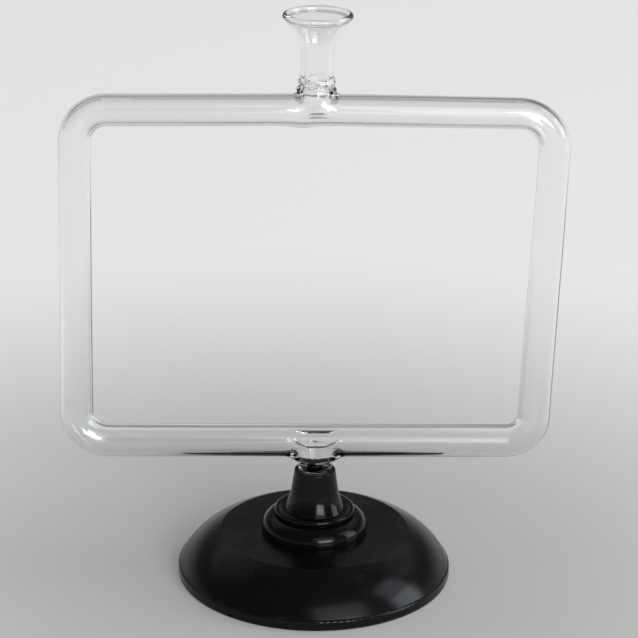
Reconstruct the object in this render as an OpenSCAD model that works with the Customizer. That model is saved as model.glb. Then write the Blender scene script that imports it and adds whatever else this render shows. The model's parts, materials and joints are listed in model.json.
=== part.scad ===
// Water convection apparatus: a closed rectangular loop of clear glass tube with a filling funnel,
// standing by a short glass stem in the socket of a turned, ebonised wooden stand.
// Millimetres, +Z up. The origin is the centre of the stand's underside, and the loop lies in the XZ plane.

/* [Wooden base] */
// Width of the base across its rim
base_d = 142.3; // [120:0.1:172]
// Height of the base, from the table to its flat top
base_h = 24; // [20:0.5:34]
// Width of the flat top that the pillar stands on
base_flat_d = 98; // [84:0.5:108]
// Height of the rim band
base_rim_h = 6; // [4:0.5:8]
// Radius that rounds both edges of the rim band
base_rim_round = 1.2; // [0.5:0.1:1.8]
// Step from the rim band in to the foot of the dome
base_step = 0.8; // [0.4:0.1:1.5]
// Radius of the dome's curve between the step and the flat top
base_dome_r = 37; // [32:1:60]

/* [Pillar] */
// Height of the pillar above the base's flat top
pillar_h = 34; // [30:0.5:50]
// Width of the pillar's top, round the socket
pillar_top_d = 21.4; // [19:0.1:26]
// Radius that rounds the edge of the pillar's top
pillar_top_round = 0.8; // [0.3:0.1:1.2]
// Width of the neck where the cove starts
pillar_neck_d = 24.6; // [23:0.1:28]
// Height above the flat top where the cove starts
pillar_neck_h = 22.4; // [21:0.1:27]
// Radius of the long cove under the neck
pillar_cove_r = 30; // [20:1:40]
// Width of the cove's lower end, inside the small ring
pillar_cove_d = 31.8; // [30:0.1:34]
// Height of the cove's lower end above the flat top
pillar_cove_h = 12.2; // [11.8:0.1:12.3]
// Width of the small ring under the cove
pillar_ring_d = 41.8; // [40:0.1:46]
// Radius of the small ring's edge
pillar_ring_r = 1.8; // [1.6:0.1:2]
// Height of the small ring's middle above the flat top
pillar_ring_h = 11.1; // [10.9:0.1:11.4]
// Width of the quirk between the small ring and the large bead
pillar_quirk_d = 38.6; // [36:0.1:39]
// Width of the large bead at the pillar's foot
pillar_bead_d = 55.2; // [52:0.1:60]
// Radius of the large bead's curve
pillar_bead_r = 7; // [6.4:0.1:7]
// Height of the large bead's middle above the flat top
pillar_bead_h = 2; // [1:0.1:2]
// Diameter of the tenon that holds the pillar in the base
tenon_d = 20; // [14:0.5:24]
// Length of the tenon
tenon_l = 14; // [10:0.5:15]
// Gap between the tenon and its mortise, on the radius
tenon_gap = 0.05; // [0.02:0.01:0.1]
// Depth of the mortise past the tenon's end
mortise_floor_gap = 0.3; // [0.1:0.1:0.6]

/* [Socket, sleeve and stem] */
// Diameter of the socket in the pillar's top
socket_d = 14; // [12:0.1:15.5]
// Depth of the socket
socket_depth = 23; // [19:0.5:26]
// Wall of the cork sleeve that lines the socket
sleeve_wall = 1.1; // [0.8:0.1:1.5]
// Running gap between the cork sleeve and the socket, on the radius
sleeve_gap = 0.06; // [0.02:0.01:0.1]
// Running gap between the glass stem and the cork sleeve, on the radius
stem_gap = 0.06; // [0.02:0.01:0.1]
// Distance from the pillar's top down to the cork sleeve
sleeve_recess = 1.2; // [0.6:0.1:2]
// Gap between the cork sleeve and the socket's floor
sleeve_floor_gap = 0.1; // [0.05:0.05:0.5]
// Gap between the stem's closed end and the socket's floor
stem_floor_gap = 1.5; // [0.5:0.1:3]
// Wall of the glass stem
stem_wall = 1.5; // [1:0.1:2]

/* [Screw] */
// Diameter of the wood screw that draws the pillar down
screw_d = 4.2; // [3.5:0.1:5]
// Length of the screw, head included
screw_l = 28; // [22:0.5:30]
// Diameter of the screw's countersunk head
screw_head_d = 8.4; // [7.6:0.1:9]
// Height of the countersunk cone
screw_head_h = 2.4; // [2:0.1:3]
// Distance from the underside of the base up to the screw's head
screw_recess = 1.4; // [1:0.1:2.5]
// Length of the screw's point
screw_point_l = 4; // [3:0.1:6]
// Diameter of the point's blunt tip
screw_tip_d = 1; // [0.6:0.1:1.5]
// Width and depth of the screwdriver slot
screw_slot = 1; // [0.8:0.1:1.4]
// Gap between the screw and the wood round it
screw_gap = 0.05; // [0.02:0.01:0.1]

/* [Glass loop] */
// Distance from the stand's axis to the left limb's axis, at the top tube
left_reach = 120; // [90:0.5:160]
// Distance from the stand's axis to the right limb's axis, at the top tube
right_reach = 118; // [90:0.5:160]
// Height between the axes of the bottom tube and the top tube
loop_h = 176.3; // [130:0.1:240]
// Outside diameter of the top tube and the upper bends
tube_d_top = 16; // [14:0.1:18]
// Outside diameter of the bottom tube and the lower bends
tube_d_bottom = 17.2; // [15:0.1:19]
// Wall of the loop's tube
tube_wall = 1.8; // [1.2:0.1:2.4]
// Lean of the left limb, outward at the bottom, in degrees
left_lean = 1; // [0:0.1:2]
// Lean of the right limb, inward at the bottom, in degrees
right_lean = 1.9; // [0:0.1:3]
// Fall of the top tube from the funnel to the left bend, in degrees
top_fall_left = 0.3; // [0.1:0.1:1.5]
// Fall of the top tube from the funnel to the right bend, in degrees
top_fall_right = 0.75; // [0.1:0.05:1.5]
// Radius of the upper left bend's centre line
bend_r_top_left = 15.5; // [12:0.5:24]
// Radius of the upper right bend's centre line
bend_r_top_right = 18.5; // [12:0.5:24]
// Radius of the lower left bend's centre line
bend_r_bottom_left = 16.5; // [12:0.5:24]
// Radius of the lower right bend's centre line
bend_r_bottom_right = 14; // [12:0.5:24]

/* [Filling funnel] */
// Sideways place of the funnel's axis
funnel_x = -1.1; // [-3:0.1:3]
// Outside diameter of the funnel's neck
neck_d = 16.7; // [15:0.1:18]
// Height of the seal between the top tube's axis and the neck
seal_h = 16.2; // [14:0.1:20]
// Half the length of tube that each seal takes up
seal_reach = 18; // [17:0.5:24]
// Half the width of the worked glass where the seal meets the top tube
seal_foot_r = 12; // [11:0.1:15]
// Radius of the ring of thick glass at the top of the seal
seal_ring_r = 0.7; // [0.4:0.1:1.2]
// Height of the straight neck above the seal
neck_h = 13.3; // [8:0.1:24]
// Radius of the trumpet curve that opens the neck into the mouth, on the outside
flare_r = 19; // [15:0.5:21]
// Angle that the trumpet curve turns through, in degrees
flare_angle = 55; // [45:1:60]
// Radius of the melted lip
lip_r = 1.5; // [1.2:0.1:1.8]
// Height of the lip's middle above the end of the trumpet curve
lip_lift = 1.3; // [0.6:0.1:1.4]
// Amount that the tube swells under the seal
swell_rise = 0.8; // [0.3:0.1:1.2]
// Half the length of the swelling
swell_reach = 10; // [6:0.5:12]
// Sideways place of the swelling's middle
swell_x = -7; // [-8:0.5:5]

/* [Stem seal] */
// Gap between the bottom tube and the pillar's top
stem_rise = 7.3; // [6:0.1:10]
// Width of the ring of the foot that rests on the pillar, outside the socket's edge
foot_seat = 0.5; // [0.3:0.1:1]
// Radius of the worked glass at the seal's shoulder
shoulder_r = 9.8; // [9.4:0.1:11.5]
// Height of that shoulder above the foot
shoulder_h = 4.6; // [4:0.1:5.5]
// Half the width of the worked glass where it leaves the bottom tube
stem_seal_r = 12.8; // [12:0.1:15]

/* [Hidden] */
$fn = 96;

// How far a cutting shape runs past the face it cuts
over = 1;
// How far the pillar's cove runs on above the height where it meets the neck, so that no ledge is left
cove_over = 0.3;

wood_colour = [0.03, 0.03, 0.03];
cork_colour = [0.1, 0.08, 0.07];
screw_colour = [0.72, 0.56, 0.28];
glass_colour = [0.86, 0.9, 0.9, 0.5];

// Heights of the stand
pillar_top_z = base_h + pillar_h;
socket_floor_z = pillar_top_z - socket_depth;
mortise_depth = tenon_l + mortise_floor_gap;
sleeve_top_z = pillar_top_z - sleeve_recess;
sleeve_d = socket_d - 2 * sleeve_gap;
stem_d = sleeve_d - 2 * sleeve_wall - 2 * stem_gap;
stem_l = socket_depth - stem_floor_gap;
foot_r = socket_d / 2 + foot_seat;
stem_drop = stem_rise + tube_d_bottom / 2;

// Corners of the loop's centre line as [x, z], with the middle of the top tube under the funnel
bottom_z = pillar_top_z + stem_drop;
top_z = bottom_z + loop_h;
top_middle = [funnel_x, top_z];
stem_middle = [0, bottom_z];
top_left = [-left_reach, top_z - (left_reach + funnel_x) * tan(top_fall_left)];
top_right = [right_reach, top_z - (right_reach - funnel_x) * tan(top_fall_right)];
bottom_left = [-left_reach - loop_h * tan(left_lean), bottom_z];
bottom_right = [right_reach - loop_h * tan(right_lean), bottom_z];

// Directions along the centre line, clockwise as seen from the front
go_up = unit(top_left - bottom_left);
go_right_first = unit(top_middle - top_left);
go_right_last = unit(top_right - top_middle);
go_down = unit(bottom_right - top_right);
go_left = unit(bottom_left - bottom_right);

// Radius of the slight bend between the two falls of the top tube, which takes up the filler seal
seal_bend_r = seal_reach / tan((top_fall_left + top_fall_right) / 2);

// Heights of the funnel
seal_top_z = top_z + seal_h;
neck_top_z = seal_top_z + neck_h;
neck_r = neck_d / 2;

function unit(v) = v / norm(v);

// The side of a direction that faces the inside of the loop
function inward(u) = [u[1], -u[0]];

// Distance from a corner to the point where its bend ends
function bend_reach(u_in, u_out, r) = r * tan(acos(u_in * u_out) / 2);

// A tube from p to q, both [x, z], that may taper
module tube(p, q, d_p, d_q, wall) {
    way = q - p;
    translate([p[0], 0, p[1]])
        rotate([0, atan2(way[0], way[1]), 0])
            rotate_extrude()
                polygon([
                    [d_p / 2 - wall, 0],
                    [d_p / 2, 0],
                    [d_q / 2, norm(way)],
                    [d_q / 2 - wall, norm(way)]
                ]);
}

// A solid rod from p to q, both [x, z], that runs past q by extra
module rod(p, q, d, extra = 0) {
    way = q - p;
    translate([p[0], 0, p[1]])
        rotate([0, atan2(way[0], way[1]), 0])
            cylinder(d = d, h = norm(way) + extra);
}

// Sweeps a cross section round a corner, from direction u_in to direction u_out, turning clockwise
module sweep(corner, u_in, u_out, r) {
    middle = corner - u_in * bend_reach(u_in, u_out, r) + inward(u_in) * r;
    last = atan2(-inward(u_out)[1], -inward(u_out)[0]);
    translate([middle[0], 0, middle[1]])
        rotate([90, 0, 0])
            rotate_extrude(angle = acos(u_in * u_out), start = last)
                translate([r, 0]) children();
}

// A bend of tube round a corner
module bend(corner, u_in, u_out, r, d, wall) {
    sweep(corner, u_in, u_out, r)
        difference() {
            circle(d = d);
            circle(d = d - 2 * wall);
        }
}

// Half of the base's cross section: flat top, dome, step and rounded rim band
module base_outline() {
    rim_r = base_d / 2;
    flat_r = base_flat_d / 2;
    foot = [rim_r - base_step, base_rim_h];
    edge = [flat_r, base_h];
    chord = edge - foot;
    to_middle = sqrt(pow(base_dome_r, 2) - pow(norm(chord) / 2, 2));
    middle = (foot + edge) / 2 + unit([-chord[1], chord[0]]) * to_middle;
    square([flat_r, base_h]);
    intersection() {
        translate(middle) circle(r = base_dome_r);
        translate([0, base_rim_h - base_rim_round])
            square([foot[0], base_h - base_rim_h + base_rim_round]);
    }
    square([rim_r - base_rim_round, base_rim_h]);
    translate([0, base_rim_round])
        square([rim_r, base_rim_h - 2 * base_rim_round]);
    for (z = [base_rim_round, base_rim_h - base_rim_round])
        translate([rim_r - base_rim_round, z]) circle(r = base_rim_round);
}

// Countersunk hole for the screw, up through the bottom of the base
module screw_hole() {
    hole_r = screw_d / 2 + screw_gap;
    head_r = screw_head_d / 2 + screw_gap;
    translate([0, 0, -over])
        cylinder(r = head_r, h = screw_recess + over);
    translate([0, 0, screw_recess])
        cylinder(r1 = head_r, r2 = hole_r, h = screw_head_h);
    cylinder(r = hole_r, h = base_h);
}

module base() {
    color(wood_colour)
        difference() {
            rotate_extrude() base_outline();
            translate([0, 0, base_h - mortise_depth])
                cylinder(r = tenon_d / 2 + tenon_gap, h = mortise_depth + over);
            screw_hole();
        }
}

// Half of the pillar's cross section, with its foot at height 0 and the tenon below it
module pillar_outline() {
    top_r = pillar_top_d / 2;
    neck = [pillar_neck_d / 2, pillar_neck_h];
    cove_end = [pillar_cove_d / 2, pillar_cove_h];
    chord = neck - cove_end;
    to_middle = sqrt(pow(pillar_cove_r, 2) - pow(norm(chord) / 2, 2));
    middle = (neck + cove_end) / 2 + unit([chord[1], -chord[0]]) * to_middle;
    ring_x = pillar_ring_d / 2 - pillar_ring_r;
    bead_x = pillar_bead_d / 2 - pillar_bead_r;
    round_x = top_r - pillar_top_round;
    round_z = pillar_h - pillar_top_round;
    translate([0, -tenon_l]) square([tenon_d / 2, tenon_l + over]);
    intersection() {
        union() {
            square([bead_x, pillar_bead_h + pillar_bead_r]);
            translate([bead_x, pillar_bead_h]) circle(r = pillar_bead_r);
        }
        square([pillar_bead_d, pillar_h]);
    }
    square([pillar_quirk_d / 2, pillar_ring_h]);
    translate([0, pillar_ring_h]) square([ring_x, pillar_cove_h - pillar_ring_h]);
    translate([ring_x, pillar_ring_h]) circle(r = pillar_ring_r);
    difference() {
        union() {
            translate([0, pillar_cove_h]) square([ring_x, chord[1] + cove_over]);
            polygon([
                [0, pillar_neck_h],
                neck,
                [top_r, round_z],
                [round_x, round_z],
                [round_x, pillar_h],
                [0, pillar_h]
            ]);
        }
        translate(middle) circle(r = pillar_cove_r);
    }
    translate([round_x, round_z]) circle(r = pillar_top_round);
}

module pillar() {
    hole_bottom = base_h - tenon_l - over;
    hole_top = screw_recess + screw_l + over;
    color(wood_colour)
        difference() {
            translate([0, 0, base_h])
                rotate_extrude() pillar_outline();
            translate([0, 0, socket_floor_z])
                cylinder(d = socket_d, h = socket_depth + over);
            translate([0, 0, hole_bottom])
                cylinder(r = screw_d / 2 + screw_gap, h = hole_top - hole_bottom);
        }
}

module pillar_screw() {
    color(screw_colour)
        translate([0, 0, screw_recess])
            difference() {
                union() {
                    cylinder(d1 = screw_head_d, d2 = screw_d, h = screw_head_h);
                    cylinder(d = screw_d, h = screw_l - screw_point_l);
                    translate([0, 0, screw_l - screw_point_l])
                        cylinder(d1 = screw_d, d2 = screw_tip_d, h = screw_point_l);
                }
                translate([-screw_head_d, -screw_slot / 2, -over])
                    cube([2 * screw_head_d, screw_slot, screw_slot + over]);
            }
}

module cork_sleeve() {
    color(cork_colour)
        tube([0, socket_floor_z + sleeve_floor_gap], [0, sleeve_top_z], sleeve_d, sleeve_d, sleeve_wall);
}

// Closed glass stem: a short test tube that stands in the sleeve
module support_stem() {
    stem_r = stem_d / 2;
    color(glass_colour)
        translate([0, 0, pillar_top_z - stem_l])
            difference() {
                union() {
                    translate([0, 0, stem_r]) sphere(r = stem_r);
                    translate([0, 0, stem_r]) cylinder(r = stem_r, h = stem_l - stem_r);
                }
                translate([0, 0, stem_r]) sphere(r = stem_r - stem_wall);
                translate([0, 0, stem_r]) cylinder(r = stem_r - stem_wall, h = stem_l);
            }
}

// Half of the stem seal's outline, with height 0 at the tube's axis, drawn in by inset for the hollow
module stem_seal_outline(inset, foot) {
    polygon([
        [0, -stem_drop],
        [foot, -stem_drop],
        [shoulder_r - inset, shoulder_h - stem_drop],
        [stem_seal_r - inset, inset - tube_d_bottom / 2],
        [stem_seal_r - inset, 0],
        [0, 0]
    ]);
}

// The worked part of a seal, no wider across the loop's plane than width
module seal_body(width) {
    size = 4 * seal_reach;
    intersection() {
        rotate_extrude() children();
        cube([size, width, size], center = true);
    }
}

module stem_seal() {
    bore_d = tube_d_bottom - 2 * tube_wall;
    left_face = stem_middle + go_left * seal_reach;
    right_face = stem_middle - go_left * seal_reach;
    color(glass_colour)
        difference() {
            union() {
                rod(left_face, right_face, tube_d_bottom);
                translate([0, 0, bottom_z])
                    seal_body(tube_d_bottom - tube_wall) stem_seal_outline(0, foot_r);
            }
            rod(left_face + go_left * over, right_face, bore_d, over);
            translate([0, 0, bottom_z])
                seal_body(bore_d - tube_wall) stem_seal_outline(tube_wall, stem_d / 2 - stem_wall);
            translate([0, 0, pillar_top_z - over])
                cylinder(d = stem_d - 2 * stem_wall, h = over + stem_rise);
        }
}

module bottom_tube_left() {
    bend_end = bottom_left - go_left * bend_reach(go_left, go_up, bend_r_bottom_left);
    color(glass_colour)
        tube(bend_end, stem_middle + go_left * seal_reach, tube_d_bottom, tube_d_bottom, tube_wall);
}

module bottom_tube_right() {
    bend_end = bottom_right + go_left * bend_reach(go_down, go_left, bend_r_bottom_right);
    color(glass_colour)
        tube(stem_middle - go_left * seal_reach, bend_end, tube_d_bottom, tube_d_bottom, tube_wall);
}

module bottom_left_bend() {
    color(glass_colour)
        bend(bottom_left, go_left, go_up, bend_r_bottom_left, tube_d_bottom, tube_wall);
}

module bottom_right_bend() {
    color(glass_colour)
        bend(bottom_right, go_down, go_left, bend_r_bottom_right, tube_d_bottom, tube_wall);
}

module top_left_bend() {
    color(glass_colour)
        bend(top_left, go_up, go_right_first, bend_r_top_left, tube_d_top, tube_wall);
}

module top_right_bend() {
    color(glass_colour)
        bend(top_right, go_right_last, go_down, bend_r_top_right, tube_d_top, tube_wall);
}

module left_limb() {
    lower = bottom_left + go_up * bend_reach(go_left, go_up, bend_r_bottom_left);
    upper = top_left - go_up * bend_reach(go_up, go_right_first, bend_r_top_left);
    color(glass_colour) tube(lower, upper, tube_d_bottom, tube_d_top, tube_wall);
}

module right_limb() {
    upper = top_right + go_down * bend_reach(go_right_last, go_down, bend_r_top_right);
    lower = bottom_right - go_down * bend_reach(go_down, go_left, bend_r_bottom_right);
    color(glass_colour) tube(lower, upper, tube_d_bottom, tube_d_top, tube_wall);
}

module top_tube_left() {
    bend_end = top_left + go_right_first * bend_reach(go_up, go_right_first, bend_r_top_left);
    color(glass_colour)
        tube(bend_end, top_middle - go_right_first * seal_reach, tube_d_top, tube_d_top, tube_wall);
}

module top_tube_right() {
    bend_end = top_right - go_right_last * bend_reach(go_right_last, go_down, bend_r_top_right);
    color(glass_colour)
        tube(top_middle + go_right_last * seal_reach, bend_end, tube_d_top, tube_d_top, tube_wall);
}

// Half of the filler seal's outline, with height 0 at the top tube's axis
module filler_seal_outline() {
    polygon([
        [0, 0],
        [seal_foot_r, 0],
        [seal_foot_r, tube_d_top / 2 - tube_wall],
        [neck_r, seal_h - 2 * seal_ring_r],
        [0, seal_h - 2 * seal_ring_r]
    ]);
}

// Ring of thick glass where the neck was melted on
module seal_ring() {
    rotate_extrude()
        translate([neck_r, seal_h - 2 * seal_ring_r]) circle(r = seal_ring_r);
}

// Long, low swelling of the tube, round the X axis, whose ends run into the wall
module swelling() {
    round_r = (pow(swell_reach, 2) + pow(swell_rise, 2)) / (2 * swell_rise);
    side = tube_d_top / 2 + swell_rise;
    length = 2 * (swell_reach + over);
    rotate([0, 90, 0])
        rotate_extrude()
            intersection() {
                translate([side - round_r, 0]) circle(r = round_r);
                translate([0, -length / 2]) square([side, length]);
            }
}

module filler_seal() {
    bore_d = tube_d_top - 2 * tube_wall;
    left_face = top_middle - go_right_first * seal_reach;
    right_face = top_middle + go_right_last * seal_reach;
    color(glass_colour)
        difference() {
            union() {
                sweep(top_middle, go_right_first, go_right_last, seal_bend_r) circle(d = tube_d_top);
                translate([swell_x, 0, top_z]) swelling();
                translate([funnel_x, 0, top_z]) {
                    cylinder(r = neck_r, h = seal_h);
                    seal_body(tube_d_top - tube_wall) filler_seal_outline();
                    seal_ring();
                }
            }
            sweep(top_middle, go_right_first, go_right_last, seal_bend_r) circle(d = bore_d);
            rod(left_face, left_face - go_right_first * over, bore_d);
            rod(right_face, right_face + go_right_last * over, bore_d);
            translate([funnel_x, 0, top_z])
                cylinder(r = neck_r - tube_wall, h = seal_h + over);
        }
}

module filler_neck() {
    color(glass_colour)
        tube([funnel_x, seal_top_z], [funnel_x, neck_top_z], neck_d, neck_d, tube_wall);
}

// Trumpet mouth: a bent wall of even thickness with a melted lip on its end
module filler_funnel() {
    curve_x = neck_r + flare_r;
    inside_r = flare_r + tube_wall;
    lip_x = curve_x - (flare_r + tube_wall / 2) * cos(flare_angle);
    lip_z = (flare_r + tube_wall / 2) * sin(flare_angle) + lip_lift;
    color(glass_colour)
        translate([funnel_x, 0, neck_top_z])
            rotate_extrude() {
                intersection() {
                    translate([curve_x, 0])
                        difference() {
                            circle(r = inside_r);
                            circle(r = flare_r);
                        }
                    polygon([
                        [curve_x, 0],
                        [curve_x - 2 * inside_r, 0],
                        [curve_x - 2 * inside_r * cos(flare_angle), 2 * inside_r * sin(flare_angle)]
                    ]);
                }
                translate([lip_x, lip_z]) circle(r = lip_r);
            }
}

base();
pillar();
pillar_screw();
cork_sleeve();
support_stem();
stem_seal();
bottom_tube_left();
bottom_tube_right();
bottom_left_bend();
bottom_right_bend();
left_limb();
right_limb();
top_left_bend();
top_right_bend();
top_tube_left();
top_tube_right();
filler_seal();
filler_neck();
filler_funnel();
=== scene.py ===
import json
import math

import bpy
import numpy as np
from mathutils import Matrix, Vector

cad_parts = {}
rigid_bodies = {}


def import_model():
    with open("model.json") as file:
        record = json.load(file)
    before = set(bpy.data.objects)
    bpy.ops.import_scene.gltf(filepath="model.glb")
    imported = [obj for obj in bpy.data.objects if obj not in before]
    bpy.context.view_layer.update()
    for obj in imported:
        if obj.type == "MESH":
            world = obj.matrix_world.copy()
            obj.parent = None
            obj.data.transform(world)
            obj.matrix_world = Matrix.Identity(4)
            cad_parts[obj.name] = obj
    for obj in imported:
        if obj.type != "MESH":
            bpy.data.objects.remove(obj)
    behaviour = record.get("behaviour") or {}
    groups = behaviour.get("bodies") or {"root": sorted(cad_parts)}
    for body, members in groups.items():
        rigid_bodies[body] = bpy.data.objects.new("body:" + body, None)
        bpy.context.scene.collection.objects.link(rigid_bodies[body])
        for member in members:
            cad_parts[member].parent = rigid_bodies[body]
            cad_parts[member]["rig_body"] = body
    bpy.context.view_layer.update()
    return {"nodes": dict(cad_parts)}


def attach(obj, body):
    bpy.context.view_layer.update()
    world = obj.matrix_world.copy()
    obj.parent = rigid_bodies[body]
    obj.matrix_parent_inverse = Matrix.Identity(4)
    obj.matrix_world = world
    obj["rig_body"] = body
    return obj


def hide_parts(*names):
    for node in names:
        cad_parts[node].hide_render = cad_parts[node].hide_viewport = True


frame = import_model()
scene = bpy.context.scene
scene.view_settings.view_transform = "Standard"
MM = 0.001

# Sizes of the stand and the loop in millimetres and degrees, the same as in the CAD source
PILLAR_TOP = 58.0
BOTTOM_Z, TOP_Z = 73.9, 250.2
LEFT_REACH, RIGHT_REACH = 120.0, 118.0
LEFT_LEAN, RIGHT_LEAN = 1.0, 1.9
FALL_LEFT, FALL_RIGHT = 0.3, 0.75
BEND_TL, BEND_TR, BEND_BR, BEND_BL = 15.5, 18.5, 14.0, 16.5
R_TOP, R_BOTTOM, WALL = 8.0, 8.6, 1.8
FUNNEL_X, NECK_R, NECK_TOP = -1.1, 8.35, 279.7
FLARE_R, FLARE_ANGLE = 19.0, 55.0
LIP_R, LIP_LIFT = 1.5, 1.3
STEM_R, STEM_WALL, STEM_L = 5.78, 1.5, 21.5
FOOT_R = 7.5

# Places that follow from them: how far the middle of the flare's curve is from the neck's axis, the middle of
# the lip's round, and the middle of the round at the stem's lower end
FLARE_X = NECK_R + FLARE_R
LIP_X = FLARE_X - (FLARE_R + WALL / 2) * math.cos(math.radians(FLARE_ANGLE))
LIP_Z = NECK_TOP + (FLARE_R + WALL / 2) * math.sin(math.radians(FLARE_ANGLE)) + LIP_LIFT
TIP_Z = PILLAR_TOP - STEM_L + STEM_R

# The stem seal's cone, outside and in its bore: top radius, height, and the cosine of its slope. Both run on
# to CONE_RUN_ON times their height, and the bore's cone starts a little above the pillar
CONE_TOP_R, CONE_H, CONE_COS = 9.9, 4.6, 0.88
CONE_BORE_TOP_R, CONE_BORE_H, CONE_BORE_COS = 8.0, 6.0, 0.86
CONE_BORE_START, CONE_RUN_ON = 0.5, 1.5
# How far the seal's foot stays above the pillar, and how far the neck's bore starts above the tube's middle
FOOT_GAP, NECK_BORE_RISE = 0.08, 1.0
# Widths of the fillets and rounded edges where parts of the glass meet
NECK_FILLET, NECK_BORE_FILLET = 4.5, 3.0
RING_FILLET, BORE_RING_FILLET, FOOT_RING_FILLET = 1.6, 1.5, 0.8
CONE_FILLET, FOOT_FILLET, STEM_FILLET = 5.0, 0.5, 0.3
CONE_BORE_FILLET, STEM_BORE_FILLET = 1.0, 3.0
EDGE_FILLET, LIP_FILLET = 0.25, 1.2

# The swelling under the funnel: place, height, reach, and its shares of the reach as width and of the height
# in the bore
SWELL_X, SWELL_RISE, SWELL_REACH = -8.0, 0.8, 11.0
SWELL_WIDTH, SWELL_IN_BORE = 0.55, 0.55
# How much less the right limb's radius is than that of the tubes that it joins, at its top and at its bottom,
# and the length over which such changes are evened out
LIMB_THIN_TOP, LIMB_THIN_BOTTOM, EVENED = 0.06, 0.2, 25
# Slow changes of the outside radius and of the wall along the loop: waves in one round, size and phase
RADIUS_WAVES = [(5, 0.035, 0.6), (17, 0.022, 2.1)]
WALL_WAVES = [(7, 0.05, 1.3)]
# Fine streaks of the wall: lobes round the tube, size, phase and turns of twist along the loop
STREAKS = [(5, 0.03, 1.0, 1), (9, 0.02, 4.0, -1), (14, 0.012, 2.0, 2)]
# Thick rings of the filler seal, outside and in the bore, and of the stem seal's foot:
# height, radius, thickness, and lobes with size and phase
SEAL_RINGS = [
    (264.9, 7.9, 1.05, [(2, 0.22, 0.5), (3, 0.18, 2.0), (5, 0.16, 4.1), (9, 0.12, 1.3)]),
    (260.4, 8.7, 0.9, [(3, 0.3, 4.0), (4, 0.24, 1.1), (7, 0.2, 2.9), (11, 0.12, 0.4)]),
]
BORE_RINGS = [(262.2, 6.75, 0.8, [(2, 0.3, 2.4), (3, 0.22, 0.3), (4, 0.2, 5.0), (7, 0.14, 3.6)])]
FOOT_RINGS = [(59.5, 7.6, 0.95, [(2, 0.22, 0.9), (3, 0.24, 2.4), (5, 0.18, 0.3), (9, 0.1, 1.0)])]
# How much a ring's lobes lift it, as a share of their size, and how their phase differs from the thickness's
LOBE_LIFT, LOBE_SHIFT = 0.8, 1.7

# Mesh of the glass: points round a tube, steps along the straights, bends, neck and stem, and the width of
# the band of triangles between a tube and a net
ROUND = 96
TUBE_STEP, BEND_STEP, NECK_STEP, STEM_STEP, ZIP = 5.0, 1.2, 2.0, 3.0, 0.7
# Arcs of the flare, the lip and the stem's end: points, the lip's and the end's angles in degrees, and how
# many degrees before the funnel's edge the flare's arcs stop
ARC_POINTS, TIP_POINTS = 18, 12
LIP_FROM, LIP_TO, TIP_TO, FLARE_SHORT = -40, 190, -85, 3
# Nets round the filler seal and the stem seal: step, half width and half depth, the upper and the lower open
# end, and how far they reach past the middle of the tube
NET_STEP, NET_TOP, NET_BOTTOM, NET_PAST = 0.6, 268.5, 54.5, 10.5
FILLER_HALF, FILLER_DEEP = 20.0, 13.2
STEM_HALF, STEM_DEEP = 18.0, 12.0
# The open ends of a net by number, and the axes that they face along
LEFT, RIGHT, UPRIGHT = 0, 1, 2
X_AXIS, Z_AXIS = 0, 2
# Farther than anything in the object, and what counts as the same place
FAR, TINY, SAME_PLACE = 1e9, 1e-9, 1e-6
# Bounds on one move of a point onto the surface: the least squared slope and the longest step
LEAST_SLOPE, LONGEST_MOVE = 0.05, 0.6

# The camera's place in metres, its angles and its lens, as fitted to the photograph
CAMERA_PLACE = (-0.02857, -1.1431, 0.5622)
PITCH, YAW, ROLL = math.radians(20.24), math.radians(1.49), math.radians(0.69)
SENSOR, LENS, CLIP_END = 36.0, 135.5, 50.0


# Camera

def aim(position, forward, roll):
    """Matrix of a camera at position that looks along forward, rolled about its own axis."""
    forward = Vector(forward).normalized()
    right = forward.cross(Vector((0, 0, 1))).normalized()
    up = right.cross(forward)
    c, s = math.cos(roll), math.sin(roll)
    right, up = right * c + up * s, up * c - right * s
    m = Matrix((right, up, -forward)).transposed().to_4x4()
    m.translation = Vector(position)
    return m


camera = bpy.data.objects.new("camera", bpy.data.cameras.new("camera"))
scene.collection.objects.link(camera)
camera.matrix_world = aim(
    CAMERA_PLACE,
    (math.cos(PITCH) * math.sin(YAW), math.cos(PITCH) * math.cos(YAW), -math.sin(PITCH)),
    ROLL,
)
camera.data.sensor_width = SENSOR
camera.data.lens = LENS
camera.data.clip_end = CLIP_END
scene.camera = camera


# Shape of the glass as a signed distance in millimetres: negative inside the glass

def unit(v):
    return v / np.linalg.norm(v)


def tan_deg(a):
    return math.tan(math.radians(a))


def smooth_min(a, b, k):
    """Distance from two shapes together, with a fillet of width k between them."""
    h = np.clip(0.5 + 0.5 * (b - a) / k, 0.0, 1.0)
    return b * (1 - h) + a * h - k * h * (1 - h)


def smooth_max(a, b, k):
    """Distance from what two shapes share, with its edge rounded over a width k."""
    return -smooth_min(-a, -b, k)


def waves(turn, rows):
    """Sum of sine waves: how many in a full turn, size and phase of each."""
    return sum(size * np.sin(n * turn + phase) for n, size, phase in rows)


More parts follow.
